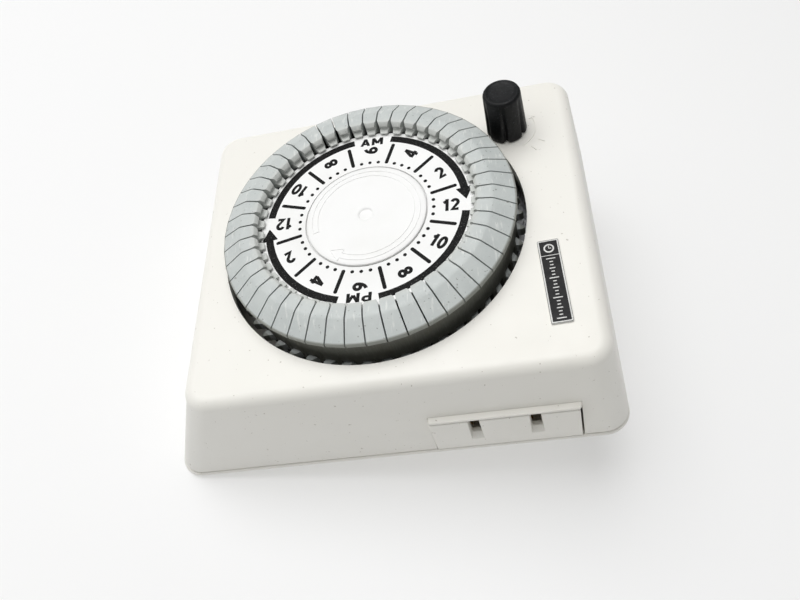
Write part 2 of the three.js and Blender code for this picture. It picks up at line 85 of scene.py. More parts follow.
CASE_HEIGHT = box_mm("front_housing")[1].z
CASE_BACK = {"x0": -77, "x1": 25.8, "y0": -42.5, "y1": 42.5}
CASE_FRONT = {"x0": -64.3, "x1": 22.9, "y0": -38.3, "y1": 39.3}
CASE_CORNER = 5.5
CASE_EDGE_ROUND = 2.8
WALL = 2
FLANGE = 1.2
SPLIT_GAP = 0.2
COVER_THICKNESS = 2.6
DIAL_OPENING_R = 34.6
TRIPPERS = 48
PITCH = 360 / TRIPPERS
HOUR_MARK = 12  # from +X to a two-hour mark, and to the middle of a tripper
HOUR_STEP = 30  # from one two-hour mark to the next
SIDE_GAP = 0.15
PIVOT_R = 28
PIVOT_Z = 27
LUG_TIP_R = 33.8
LUG_Z0 = 19.6
LUG_Z1 = 22.6
LUG_TOP = 21.9
BLADE_PITCH = 12.7
BLADES = (("line_blade", 1, 6.35), ("neutral_blade", -1, 7.9))  # node, side of the centre, width
SCREW_HOLE_R = 1.7
KNOB_BORE_R = 2.3
SCREW_NODES = [f"cover_screw_{n}" for n in range(1, 5)]


# ---------------- mesh helpers

def add_mesh(name, vertices, faces):
    data = bpy.data.meshes.new(name)
    data.from_pydata([tuple(c * MM for c in v) for v in vertices], [], faces)
    data.update()
    made = bpy.data.objects.new(name, data)
    bpy.context.scene.collection.objects.link(made)
    clean(made)
    return made


def clean(made):
    """Merges doubled points and turns all faces outwards."""
    work = bmesh.new()
    work.from_mesh(made.data)
    bmesh.ops.remove_doubles(work, verts=work.verts, dist=1e-7)
    bmesh.ops.recalc_face_normals(work, faces=work.faces)
    work.to_mesh(made.data)
    work.free()


def joined(name, parts):
    """One object from several, which are used up."""
    work = bmesh.new()
    for part in parts:
        part.data.transform(part.matrix_world)
        work.from_mesh(part.data)
    data = bpy.data.meshes.new(name)
    work.to_mesh(data)
    work.free()
    for part in parts:
        bpy.data.objects.remove(part)
    made = bpy.data.objects.new(name, data)
    bpy.context.scene.collection.objects.link(made)
    return made


def boolean(base, others, operation):
    """Adds or cuts the others, which are used up."""
    for other in others:
        step = base.modifiers.new(operation, "BOOLEAN")
        step.operation = operation
        step.object = other
        step.solver = "EXACT"
    graph = bpy.context.evaluated_depsgraph_get()
    graph.update()
    result = bpy.data.meshes.new_from_object(base.evaluated_get(graph))
    base.modifiers.clear()
    base.data = result
    for other in others:
        bpy.data.objects.remove(other)
    return base


def piece(made, body, material, replaces=(), edge=0.0, segments=3, angle=35):
    """Shades, bevels and paints an object, and lets it ride on a body."""
    data = made.data
    data.polygons.foreach_set("use_smooth", [True] * len(data.polygons))
    data.set_sharp_from_angle(angle=math.radians(angle))
    if edge:
        bevel(made, edge, segments, angle)
    data.materials.clear()
    data.materials.append(material)
    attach(made, body)
    if replaces:
        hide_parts(*replaces)
    return made


def bevel(made, width, segments, angle):
    step = made.modifiers.new("edges", "BEVEL")
    step.width = width * MM
    step.segments = segments
    step.limit_method = "ANGLE"
    step.angle_limit = math.radians(angle)
    step.harden_normals = True
    step.use_clamp_overlap = True


def box_object(name, x0, x1, y0, y1, z0, z1):
    corners = [(x, y, z) for z in (z0, z1) for x, y in ((x0, y0), (x1, y0), (x1, y1), (x0, y1))]
    faces = [(3, 2, 1, 0), (4, 5, 6, 7)] + [(i, (i + 1) % 4, (i + 1) % 4 + 4, i + 4) for i in range(4)]
    return add_mesh(name, corners, faces)


def turned(name, outline, sides, centre=(0, 0)):
    """A body of revolution about Z from a closed outline of (radius, z) points."""
    count = len(outline)
    vertices, faces = [], []
    for side in range(sides):
        a = 2 * math.pi * side / sides
        vertices += [(centre[0] + r * math.cos(a), centre[1] + r * math.sin(a), z) for r, z in outline]
        after = (side + 1) % sides
        for i in range(count):
            j = (i + 1) % count
            faces.append((side * count + i, side * count + j, after * count + j, after * count + i))
    return add_mesh(name, vertices, faces)


def rod_object(name, x, y, radius, z0, z1, sides=64):
    return turned(name, [(0, z0), (radius, z0), (radius, z1), (0, z1)], sides, (x, y))


def rounded(points, radius, steps=4):
    """A closed outline with each corner replaced by an arc; radius is one number or one for each corner."""
    radii = radius if isinstance(radius, (list, tuple)) else [radius] * len(points)
    result = []
    for i, point in enumerate(points):
        here = Vector(point)
        before, after = Vector(points[i - 1]), Vector(points[(i + 1) % len(points)])
        u, v = (before - here).normalized(), (after - here).normalized()
        half = u.angle(v) / 2
        reach = 0.45 * min((before - here).length, (after - here).length)
        cut = min(radii[i] / math.tan(half), reach)
        if cut < 1e-6 or abs(half - math.pi / 2) < 0.02:
            result.append(tuple(here))
            continue
        size = cut * math.tan(half)
        centre = here + (u + v).normalized() * (size / math.sin(half))
        start, end = (here + u * cut - centre) / size, (here + v * cut - centre) / size
        sweep = start.angle(end)
        for step in range(steps + 1):
            t = step / steps
            way = (start * math.sin((1 - t) * sweep) + end * math.sin(t * sweep)) / math.sin(sweep)
            result.append(tuple(centre + way * size))
    return result


def lofted(name, loops):
    """A closed solid through loops of equal length."""
    count = len(loops[0])
    vertices = [point for loop in loops for point in loop]
    faces = [tuple(reversed(range(count)))]
    for level in range(len(loops) - 1):
        for i in range(count):
            j = (i + 1) % count
            low = level * count
            faces.append((low + i, low + j, low + count + j, low + count + i))
    top = (len(loops) - 1) * count
    faces.append(tuple(range(top, top + count)))
    return add_mesh(name, vertices, faces)


def raised(name, outline, z0, z1):
    return lofted(name, [[(x, y, z) for x, y in outline] for z in (z0, z1)])


def stroke(name, path, width, z0, z1):
    """A flat bar along a path; a path that ends where it starts makes a closed ring."""
    closed = (Vector(path[0]) - Vector(path[-1])).length < 1e-6
    points = [Vector(p) for p in (path[:-1] if closed else path)]
    count = len(points)
    vertices = []
    for i, here in enumerate(points):
        before = points[i - 1] if closed or i else 2 * here - points[1]
        after = points[(i + 1) % count] if closed or i < count - 1 else 2 * here - points[-2]
        u, v = (here - before).normalized(), (after - here).normalized()
        across = Vector((-u.y - v.y, u.x + v.x)).normalized()
        reach = across * width / 2 / max(0.6, across.dot(Vector((-u.y, u.x))))
        vertices += [(*(here + side * reach), z) for side in (1, -1) for z in (z0, z1)]
    faces = []
    for i in range(count if closed else count - 1):
        j = (i + 1) % count
        for a, b in ((0, 1), (1, 3), (3, 2), (2, 0)):
            faces.append((4 * i + a, 4 * i + b, 4 * j + b, 4 * j + a))
    if not closed:
        faces += [(0, 1, 3, 2), tuple(4 * (count - 1) + k for k in (0, 2, 3, 1))]
    return add_mesh(name, vertices, faces)


def arc(centre, rx, ry, a0, a1, count=14):
    angles = [math.radians(a0 + (a1 - a0) * i / count) for i in range(count + 1)]
    if abs(a1 - a0) == 360:
        angles[-1] = angles[0]
    return [(centre[0] + rx * math.cos(a), centre[1] + ry * math.sin(a)) for a in angles]


def polar(radius, angle, centre=None):
    middle = centre or DIAL
    return (middle[0] + radius * math.cos(angle), middle[1] + radius * math.sin(angle))


def radial_bar(centre, angle, inner, outer, width):
    """The four corners of a bar that points away from a centre."""
    way = Vector((math.cos(angle), math.sin(angle)))
    side = Vector((-way.y, way.x)) * (width / 2)
    start, end = Vector(centre[:2]) + way * inner, Vector(centre[:2]) + way * outer
    return [tuple(start - side), tuple(end - side), tuple(end + side), tuple(start + side)]


# ---------------- materials

class Shader:
    """A material with a Principled surface, and the few texture steps that the timer's materials share."""

    def __init__(self, name, colour, roughness, metallic=0.0, specular=0.5):
        self.material = bpy.data.materials.new(name)
        self.material.use_nodes = True
        self.tree = self.material.node_tree
        self.surface = self.tree.nodes["Principled BSDF"]
        self.colour = (*colour, 1)
        self.surface.inputs["Base Color"].default_value = self.colour
        self.surface.inputs["Roughness"].default_value = roughness
        self.surface.inputs["Metallic"].default_value = metallic
        self.surface.inputs["Specular IOR Level"].default_value = specular
        self.places = self.tree.nodes.new("ShaderNodeTexCoord").outputs["Object"]
        self.paint = None
        self.height = None

    def link(self, source, target):
        self.tree.links.new(source, target)

    def noise(self, size_mm, detail=3.0, stretch=(1, 1, 1), seed=0.0, roughness=0.55):
        """Noise whose features are about size_mm across."""
        place = self.tree.nodes.new("ShaderNodeMapping")
        place.inputs["Scale"].default_value = stretch
        place.inputs["Location"].default_value = (seed, seed * 0.7, -seed)
        self.link(self.places, place.inputs["Vector"])
        node = self.tree.nodes.new("ShaderNodeTexNoise")
        node.inputs["Scale"].default_value = 1 / (size_mm * MM)
        node.inputs["Detail"].default_value = detail
        node.inputs["Roughness"].default_value = roughness
        self.link(place.outputs["Vector"], node.inputs["Vector"])
        return node.outputs["Fac"]

    def mapped(self, value, low, high, to_low=0.0, to_high=1.0):
        node = self.tree.nodes.new("ShaderNodeMapRange")
        node.inputs["From Min"].default_value = low
        node.inputs["From Max"].default_value = high
        node.inputs["To Min"].default_value = to_low
        node.inputs["To Max"].default_value = to_high
        self.link(value, node.inputs["Value"])
        return node.outputs["Result"]

    def tint(self, mask, colour):
        """Lays a colour over what is painted so far, where the mask is 1."""
        node = self.tree.nodes.new("ShaderNodeMix")
        node.data_type = "RGBA"
        ends = [socket for socket in node.inputs if socket.type == "RGBA"]
        if self.paint is None:
            ends[0].default_value = self.colour
        else:
            self.link(self.paint, ends[0])
        ends[1].default_value = (*colour, 1)
        self.link(mask, node.inputs["Factor"])
        self.paint = next(socket for socket in node.outputs if socket.type == "RGBA")
        self.link(self.paint, self.surface.inputs["Base Color"])

    def spots(self, colour, size, detail, start, full, most=1.0, **more):
        """Lays a colour where a noise rises from start to full, no stronger than most; size in millimetres."""
        self.tint(self.mapped(self.noise(size, detail, **more), start, full, 0, most), colour)

    def rough(self, value, low, high):
        """Roughness between low and high, led by a noise."""
        self.link(self.mapped(value, 0.3, 0.7, low, high), self.surface.inputs["Roughness"])

    def bump(self, value, depth_mm, strength=1.0):
        node = self.tree.nodes.new("ShaderNodeBump")
        node.inputs["Strength"].default_value = strength
        node.inputs["Distance"].default_value = depth_mm * MM
        self.link(value, node.inputs["Height"])
        if self.height is not None:
            self.link(self.height, node.inputs["Normal"])
        self.height = node.outputs["Normal"]
        self.link(self.height, self.surface.inputs["Normal"])

    def part_of(self, axis):
        node = self.tree.nodes.new("ShaderNodeSeparateXYZ")
        self.link(self.places, node.inputs["Vector"])
        return node.outputs[axis]

    def dial_radius(self):
        """Distance from the dial's axis, in metres."""
        shift = self.tree.nodes.new("ShaderNodeVectorMath")
        shift.operation = "SUBTRACT"
        shift.inputs[1].default_value = (DIAL.x * MM, DIAL.y * MM, 0)
        self.link(self.places, shift.inputs[0])
        flat = self.tree.nodes.new("ShaderNodeVectorMath")
        flat.operation = "MULTIPLY"
        flat.inputs[1].default_value = (1, 1, 0)
        self.link(shift.outputs[0], flat.inputs[0])
        length = self.tree.nodes.new("ShaderNodeVectorMath")
        length.operation = "LENGTH"
        self.link(flat.outputs[0], length.inputs[0])
        return length.outputs["Value"]


def housing_plastic():
    made = Shader("housing_plastic", (0.84, 0.826, 0.775), 0.42)
    made.spots((0.82, 0.803, 0.745), size=60, detail=2, start=0.35, full=0.7)
    made.spots((0.77, 0.755, 0.71), size=9, detail=4, start=0.58, full=0.8, most=0.35, seed=0.3)
    made.spots((0.38, 0.34, 0.28), size=0.9, detail=2, start=0.715, full=0.735, most=0.6, seed=0.9)
    made.tint(made.mapped(made.part_of("Z"), 0.004, 0.0, 0, 0.25), (0.62, 0.60, 0.54))
    made.rough(made.noise(5, 4, seed=0.5), 0.36, 0.5)
    made.bump(made.noise(0.35, 2), 0.012, 0.35)
    made.bump(made.noise(14, 2, seed=1.4), 0.10, 0.25)
    return made.material


def dial_plastic():
    made = Shader("dial_plastic", (0.86, 0.86, 0.85), 0.48)
    made.spots((0.80, 0.80, 0.77), size=12, detail=4, start=0.45, full=0.8, most=0.5)
    made.spots((0.42, 0.40, 0.36), size=0.5, detail=2, start=0.77, full=0.80, most=0.5, seed=0.2)
    made.rough(made.noise(4, 4, seed=0.6), 0.42, 0.58)
    made.bump(made.noise(0.5, 2), 0.01, 0.3)
    return made.material


def tripper_plastic():
    made = Shader("tripper_plastic", (0.53, 0.56, 0.545), 0.46)
    made.spots((0.47, 0.50, 0.49), size=4.5, detail=4, start=0.35, full=0.75)
    made.spots((0.62, 0.64, 0.62), size=1.2, detail=3, start=0.6, full=0.78, most=0.6,
               stretch=(1, 1, 3), seed=0.4)
    made.spots((0.18, 0.185, 0.17), size=0.7, detail=3, start=0.665, full=0.70, most=0.75, seed=0.8)
    made.spots((0.74, 0.75, 0.72), size=2.2, detail=4, start=0.6, full=0.68, most=0.5,
               stretch=(3, 0.6, 1), seed=1.9)
    radius = made.dial_radius()
    made.tint(made.mapped(radius, 0.0262, 0.0246, 0, 0.35), (0.60, 0.59, 0.54))
    # painted shade: past 32.6 mm from the dial's axis the trippers' outer ends, the rim face that lies in
    # shadow, are painted dark olive
    made.tint(made.mapped(radius, 0.0326, 0.0329, 0, 0.8), (0.20, 0.205, 0.175))
    made.rough(made.noise(1.5, 4, seed=0.7), 0.38, 0.56)
    made.bump(made.noise(0.25, 3), 0.015, 0.35)
    made.bump(made.noise(2.5, 2, stretch=(1, 1, 2)), 0.05, 0.25)
    return made.material


def carrier_plastic():
    made = Shader("carrier_plastic", (0.12, 0.122, 0.103), 0.5)
    made.spots((0.20, 0.205, 0.185), size=0.8, detail=3, start=0.5, full=0.8, most=0.7, stretch=(4, 4, 0.3))
    made.spots((0.12, 0.11, 0.08), size=6, detail=3, start=0.55, full=0.8, most=0.5, seed=0.6)
    made.rough(made.noise(1, 4), 0.4, 0.62)
    made.bump(made.noise(0.4, 3, stretch=(2, 2, 0.4)), 0.02, 0.4)
    return made.material


def knob_plastic():
    made = Shader("knob_plastic", (0.003, 0.0034, 0.004), 0.52, specular=0.22)
    made.spots((0.045, 0.052, 0.06), size=0.35, detail=3, start=0.62, full=0.68, most=0.7)
    made.spots((0.014, 0.014, 0.014), size=3, detail=4, start=0.55, full=0.8, most=0.6,
               stretch=(1, 1, 0.3), seed=0.5)
    made.rough(made.noise(0.9, 4, seed=0.3), 0.38, 0.62)
    made.bump(made.noise(0.22, 3), 0.02, 0.5)
    return made.material


def ink():
    made = Shader("dial_ink", (0.003, 0.003, 0.003), 0.55, specular=0.12)
    made.spots((0.14, 0.14, 0.135), size=0.3, detail=3, start=0.615, full=0.67, most=0.7)
    made.spots((0.012, 0.012, 0.012), size=1.8, detail=3, start=0.5, full=0.8, most=0.5, seed=0.7)
    made.rough(made.noise(0.5, 3), 0.42, 0.65)
    made.bump(made.noise(0.15, 2), 0.008, 0.4)
    return made.material


def label_ink(name, colour):
    made = Shader(name, colour, 0.4, specular=0.15)
    darker = tuple(c * 0.82 for c in colour)
    made.spots(darker, size=2.5, detail=4, start=0.4, full=0.75)
    made.rough(made.noise(1.2, 3), 0.22, 0.42)
    made.bump(made.noise(0.3, 2), 0.006, 0.3)
    return made.material


def gear_plastic():
    made = Shader("gear_plastic", (0.74, 0.70, 0.58), 0.45)
    made.spots((0.66, 0.61, 0.48), size=5, detail=4, start=0.4, full=0.75)
    made.spots((0.30, 0.25, 0.16), size=0.8, detail=3, start=0.66, full=0.8, most=0.5, seed=0.5)
    made.rough(made.noise(1.5, 3), 0.36, 0.56)
    made.bump(made.noise(0.4, 3), 0.015, 0.4)
    return made.material


def metal(name, colour, dull, roughness, stretch):
    made = Shader(name, colour, roughness, metallic=1.0)
    made.spots(dull, size=3, detail=5, start=0.42, full=0.75)
    made.spots(tuple(c * 0.45 for c in dull), size=0.5, detail=3, start=0.68, full=0.8, most=0.5, seed=0.4)
    made.rough(made.noise(0.6, 4, stretch=stretch), roughness - 0.08, roughness + 0.16)
    made.bump(made.noise(0.25, 3, stretch=stretch), 0.01, 0.5)
    return made.material


HOUSING = housing_plastic()
DIAL_WHITE = dial_plastic()
TRIPPER = tripper_plastic()
CARRIER = carrier_plastic()
KNOB_BLACK = knob_plastic()
INK = ink()
LABEL_BLACK = label_ink("label_black", (0.006, 0.006, 0.0065))
LABEL_WHITE = label_ink("label_white", (0.72, 0.72, 0.70))
GEAR = gear_plastic()
BRASS = metal("brass", (0.78, 0.58, 0.28), (0.62, 0.44, 0.20), 0.28, (0.3, 3, 0.3))
STEEL = metal("steel", (0.62, 0.63, 0.64), (0.50, 0.51, 0.53), 0.30, (3, 0.3, 0.3))
COPPER = metal("copper", (0.72, 0.40, 0.26), (0.52, 0.28, 0.17), 0.30, (3, 0.3, 3))


# ---------------- case

def case_loop(z, inset, level=None, steps=14):
    """The case's outline at z, drawn in by an inset, and put at another level when one is given."""
    t = z / CASE_HEIGHT
    side = {k: CASE_BACK[k] + (CASE_FRONT[k] - CASE_BACK[k]) * t for k in CASE_BACK}
    radius = CASE_CORNER - inset
    x0, x1 = side["x0"] + inset + radius, side["x1"] - inset - radius
    y0, y1 = side["y0"] + inset + radius, side["y1"] - inset - radius
    height = z if level is None else level
    loop = []
    for corner, (x, y) in enumerate([(x1, y1), (x0, y1), (x0, y0), (x1, y0)]):
        for i in range(steps + 1):
            a = math.radians(90 * corner + 90 * i / steps)
            loop.append((x + radius * math.cos(a), y + radius * math.sin(a), height))
    return loop


def housing_loops():
    """The case's outer skin, from the parting line to the rounded front edge."""
    low = FLANGE + SPLIT_GAP
    start = CASE_HEIGHT - CASE_EDGE_ROUND
    loops = [case_loop(low, 0.35), case_loop(low + 0.12, 0.1), case_loop(low + 0.35, 0), case_loop(start, 0)]
    for step in range(1, 11):
        a = math.radians(9 * step)
        inset, rise = CASE_EDGE_ROUND * (1 - math.cos(a)), CASE_EDGE_ROUND * math.sin(a)
        loops.append(case_loop(start, inset, start + rise))
    return loops


def front_housing():
    """The hollow case with a collar round the dial and four screw bosses, and then its openings."""
    ceiling, above = CASE_HEIGHT - WALL, CASE_HEIGHT + 1
    shell = lofted("front_housing_shell", housing_loops())
    inside = lofted("inside", [case_loop(0, WALL), case_loop(ceiling, WALL)])
    inner, joint = DIAL_OPENING_R + 0.6, ceiling + 0.5
    outer = inner + 1.2
    collar = turned("collar", [(inner, 21), (outer, 21), (outer, joint), (inner, joint)], 192, DIAL)
    boss = {"radius": 3.2, "z0": COVER_THICKNESS + 0.3, "z1": joint, "sides": 32}
    bosses = [rod_object("boss", *centre_of(node), **boss) for node in SCREW_NODES]
    low, high = box_mm("outlet_insert")
    opening = rod_object("opening", DIAL.x, DIAL.y, DIAL_OPENING_R, 18, above, 192)
    cuts = [
        rod_object("knob_hole", KNOB.x, KNOB.y, KNOB_BORE_R, 20, above, 48),
        rod_object("star_room", KNOB.x, KNOB.y, 6.65, 18, ceiling, 64),
        box_object("outlet_room", low.x - 0.3, high.x + 0.3, -50, -33, 0, high.z + 0.1),
    ]
    cuts += [rod_object("screw_hole", *centre_of(node), SCREW_HOLE_R, 0, 14, 24) for node in SCREW_NODES]
    boolean(shell, [inside], "DIFFERENCE")
    boolean(shell, [collar, *bosses], "UNION")
    boolean(shell, [opening, *cuts], "DIFFERENCE")
    piece(shell, "case", HOUSING, ["front_housing"], edge=0.3, segments=3, angle=38)


def rear_cover():
    """The flat back with a tray inside the walls, slots for the blades and sunk seats for the screws."""
    skin = ((0, 0.4), (0.12, 0.15), (0.4, 0), (1.0, 0), (FLANGE, 0.2))
    plate = lofted("rear_cover_plate", [case_loop(z, inset) for z, inset in skin])
    tray = lofted("tray", [case_loop(z, WALL + 0.3) for z in (FLANGE - 0.2, COVER_THICKNESS)])
    boolean(plate, [tray], "UNION")
    cuts = [box_object("outlet_room", -15.8, 15.8, -50, -32.7, FLANGE, 4)]
    for node, side, width in BLADES:
        reach, y = width / 2 + 0.3, side * BLADE_PITCH / 2
        cuts.append(box_object("blade_slot", -reach, reach, y - 1.05, y + 1.05, -1, 4))
    seat = [(0, -1), (3.1, -1), (3.1, 1.7), (SCREW_HOLE_R, 1.7), (SCREW_HOLE_R, 4), (0, 4)]
    cuts += [turned("screw_seat", seat, 48, centre_of(node)) for node in SCREW_NODES]
    boolean(plate, cuts, "DIFFERENCE")
    piece(plate, "case", HOUSING, ["rear_cover"], edge=0.15, segments=2, angle=38)


def cover_screws():
    """Four screws with a domed head and a crossed slot, seen from behind."""
    outline = [
        (0, 0.35), (1.6, 0.32), (2.4, 0.42), (2.75, 0.7), (2.8, 1.0), (2.8, 1.3),
        (1.4, 1.5), (1.4, 12), (0, 13),
    ]
    long, short = 1.6, 0.4
    for number, node in enumerate(SCREW_NODES, 1):
        x, y = centre_of(node)
        screw = turned(f"cover_screw_head_{number}", outline, 48, (x, y))
        slots = [
            box_object("slot", x - a, x + a, y - b, y + b, 0, 1) for a, b in ((long, short), (short, long))
        ]
        boolean(screw, slots, "DIFFERENCE")
        piece(screw, "case", STEEL, [node], edge=0.06, segments=2)


def housing_marks():
    """A small raised turning arrow and two ticks in the case beside the knob."""
    low, top, radius = CASE_HEIGHT - 0.1, CASE_HEIGHT + 0.16, 6.54
    parts = [stroke("mark_arc", arc(KNOB, radius, radius, -62, 22, 22), 0.28, low, top)]
    tip, base = math.radians(33), math.radians(22)
    head = [polar(5.65, base, KNOB), polar(7.4, base, KNOB), polar(radius, tip, KNOB)]
    parts.append(raised("mark_head", rounded(head, 0.12, 3), low, top))
    for degrees in (-34, -52):
        tick = radial_bar(KNOB, math.radians(degrees), 8.0, 9.8, 0.36)
        parts.append(raised("mark_tick", rounded(tick, 0.16, 4), low, top))
    piece(joined("housing_marks", parts), "case", HOUSING, edge=0.07, segments=2)


# ---------------- label

LABEL_CENTRE = Vector(centre_of("badge_plate"))
LABEL_TOP = box_mm("badge_plate")[1].z
LABEL_TILT = math.radians(2)
LABEL_HALF_WIDTH = 2.2
LABEL_HALF_HEIGHT = 10.1
LABEL_MARGIN = 0.36
LABEL_LINE = 0.16
LABEL_TICKS = 19


def on_label(points):
    """Points of the upright label, turned by its tilt and put at its place on the case."""
    c, s = math.cos(LABEL_TILT), math.sin(LABEL_TILT)
    return [(LABEL_CENTRE.x + x * c - y * s, LABEL_CENTRE.y + x * s + y * c) for x, y in points]


def label_rectangle(x0, x1, y0, y1, radius):
    return on_label(rounded([(x0, y0), (x1, y0), (x1, y1), (x0, y1)], radius, 4))


def label_bar(x0, x1, y0, y1, top):
    return raised("bar", label_rectangle(x0, x1, y0, y1, 0.04), LABEL_TOP - 0.09, top)


def badge():
    """A white label with a thin dark outline, and two black panels, a square one over a long one."""
    w, h = LABEL_HALF_WIDTH, LABEL_HALF_HEIGHT
    bottom = box_mm("badge_plate")[0].z
    plate = raised("badge_label", label_rectangle(-w, w, -h, h, 0.3), bottom, LABEL_TOP - 0.07)
    piece(plate, "case", LABEL_WHITE, ["badge_plate"], edge=0.05, segments=2)
    x, y = w - LABEL_MARGIN, h - LABEL_MARGIN
    square = y - 2 * x
    black = LABEL_TOP - 0.04
    panels = [label_bar(-x, x, square + LABEL_LINE, y, black), label_bar(-x, x, -y, square, black)]
    outline = label_rectangle(0.06 - w, w - 0.06, 0.06 - h, h - 0.06, 0.3)
    panels.append(stroke("outline", outline + outline[:1], 0.07, LABEL_TOP - 0.09, black))
    piece(joined("badge_panels", panels), "case", LABEL_BLACK, edge=0.02, segments=2)
    badge_print(square, y)


def badge_print(square, y):
    """A clock sign in the square panel, and a column of ticks of three lengths in the long one."""
    white = LABEL_TOP - 0.01
    middle = (square + y) / 2
    ring = on_label(arc((0, middle), 0.93, 0.93, 0, 360, 40))
    parts = [
        stroke("clock_ring", ring, 0.3, LABEL_TOP - 0.09, white),
        label_bar(-0.08, 0.08, middle - 0.05, middle + 0.68, white),
        label_bar(0.0, 0.5, middle - 0.08, middle + 0.08, white),
    ]
    for i in range(LABEL_TICKS):
        height = square - 0.75 - i * (square + y - 1.4) / (LABEL_TICKS - 1)
        reach = 0.95 if i % 6 == 0 else 0.6 if i % 3 == 0 else 0.36
        parts.append(label_bar(-reach, reach, height - 0.11, height + 0.11, white))
    piece(joined("badge_print", parts), "case", LABEL_WHITE)


# ---------------- outlet

SLOT_HALF = 1.05
SLOT_LOW = 6.0
FUNNEL_LOW = 4.3


def outlet_slot(x, face, top):
    """A straight slot, and the funnel that leads into it."""
    slot = box_object("slot", x - SLOT_HALF, x + SLOT_HALF, face - 1, face + 5, SLOT_LOW, top + 1)
    sections = []
    for y, z0, grow in ((face + 1.4, SLOT_LOW, 0), (face - 0.3, FUNNEL_LOW, 0.4)):
        corners = ((-1, z0), (1, z0), (1, top + 1), (-1, top + 1))
        sections.append([(x + side * (SLOT_HALF + grow), y, z) for side, z in corners])
    return [slot, lofted("funnel", sections)]


def outlet():
    """The outlet's leaning front block with two funnel slots, and the ledge over it."""
    low, high = box_mm("outlet_insert")
    ledge_low, ledge_top = high.z - 0.65, high.z + 0.06
    top = ledge_low - 0.28
    face_low, face_top = low.y + 0.5, low.y + 1.15
    x0, x1 = low.x - 0.16, high.x - 0.15
    outline = [(face_low, low.z), (face_top, top), (high.y, top), (high.y, low.z)]
    outline = rounded(outline, [0.2, 0.4, 0.3, 0.2], 5)
    block = lofted("outlet_block", [[(x, y, z) for y, z in outline] for x in (x0, x1)])
    cuts = [box_object("cavity", -13.2, 13.2, face_low + 2.4, -32, 3, top - 1.2)]
    for side in (-1, 1):
        cuts += outlet_slot(side * BLADE_PITCH / 2, face_low, top)
    boolean(block, cuts, "DIFFERENCE")
    piece(block, "case", HOUSING, ["outlet_insert"], edge=0.12, segments=3)
    right, back = high.x + 0.25, high.y - 4
    plan = [(x0, face_top), (right, face_top), (right, back), (x0, back)]
    ledge = raised("outlet_ledge", rounded(plan, [0.45, 0.8, 0, 0], 6), ledge_low, ledge_top)
    piece(ledge, "case", HOUSING, edge=0.26, segments=4)


# ---------------- drum

DRUM_Z0 = 17.8
WALL_OUTER_R = 32.1
WALL_INNER_R = 30.9
GROOVE_DEPTH = 0.5
GROOVE_ANGLE = 1.2
GROOVE_HALF = 0.42
WINDOW_HALF = math.degrees(1.7 / 31.5)


def carrier_core():
    """The black drum's floor, hub and inner wall."""
    outline = [
        (2.6, DRUM_Z0), (31.2, DRUM_Z0), (31.2, 18.6), (29.9, 18.6), (29.9, 19.2), (24.6, 19.2),
        (24.6, 29.7), (24.4, 29.9), (23.1, 29.9), (22.9, 29.7), (22.9, 19.2), (5.5, 19.2), (5.5, 27.8),
        (5.3, 28), (2.8, 28), (2.6, 27.8),
    ]
    core = turned("carrier_core", outline, 144, DIAL)
    piece(core, "dial", CARRIER, ["tripper_carrier"], angle=40)


def carrier_wall():
    """The black drum's outer wall, with a groove and a window for each tripper."""
    stops = []
    for n in range(TRIPPERS):
        start = HOUR_MARK + PITCH * (n + 0.5)
        middle = start + PITCH / 2
        stops += [
            (start, False, False),
            (start + GROOVE_ANGLE - GROOVE_HALF, True, False),
            (start + GROOVE_ANGLE + GROOVE_HALF, False, False),
            (middle - WINDOW_HALF, False, True),
            (middle + WINDOW_HALF, False, False),
        ]
    wall = wall_grid("carrier_wall", stops, [DRUM_Z0, 18.6, LUG_Z1 + 0.4, 28.9, 29.2])
    piece(wall, "dial", CARRIER, ["tripper_carrier"], edge=0.06, segments=2, angle=40)


def wall_grid(name, stops, levels):
    """A round wall in cells. A stop is an angle, if its cell is a groove, and if it has a window low down."""
    count, rows = len(stops), len(levels)
    vertices, faces, index = [], [], {}

    def point(i, k, radius):
        key = (i % count, k, radius)
        if key not in index:
            index[key] = len(vertices)
            vertices.append((*polar(radius, math.radians(stops[i % count][0])), levels[k]))
        return index[key]

    def skin(i):
        return WALL_OUTER_R - GROOVE_DEPTH if stops[i % count][1] else WALL_OUTER_R

    def is_open(i, k):
        return stops[i % count][2] and k == 1

    def cell(i, k):
        def out(a, b):
            return point(a, b, skin(i))

        def back(a, b):
            return point(a, b, WALL_INNER_R)

        yield [out(i, k), out(i + 1, k), out(i + 1, k + 1), out(i, k + 1)]
        yield [back(i + 1, k), back(i, k), back(i, k + 1), back(i + 1, k + 1)]
        for edge, other in ((i, i - 1), (i + 1, i + 1)):
            if is_open(other, k):
                yield [out(edge, k), out(edge, k + 1), back(edge, k + 1), back(edge, k)]
        if k == 0 or is_open(i, k - 1):
            yield [out(i, k), back(i, k), back(i + 1, k), out(i + 1, k)]
        if k == rows - 2 or is_open(i, k + 1):
            yield [out(i, k + 1), out(i + 1, k + 1), back(i + 1, k + 1), back(i, k + 1)]

    for i in range(count):
        for k in range(rows - 1):
            if not is_open(i, k):
                faces += cell(i, k)
        a, b = skin(i - 1), skin(i)
        if a != b:
            for k in range(rows - 1):
                faces.append([point(i, k, a), point(i, k, b), point(i, k + 1, b), point(i, k + 1, a)])
            for k in (0, rows - 1):
                faces.append([point(i, k, a), point(i, k, b), point(i, k, WALL_INNER_R)])
    return add_mesh(name, vertices, faces)


# ---------------- dial

def dial_disc():
    """The dial's white disc, with a shallow seat for the cap."""
    outline = [
        (0, -1), (24.1, -1), (24.3, -0.8), (24.3, -0.15), (24.15, 0), (14.05, 0), (13.95, -0.05),
        (13.9, -0.15), (13.9, -0.6), (0, -0.6),
    ]
    disc = turned("dial_disc", [(r, DIAL_Z + rise) for r, rise in outline], 192, DIAL)
    piece(disc, "dial", DIAL_WHITE, ["dial_face"], angle=30)


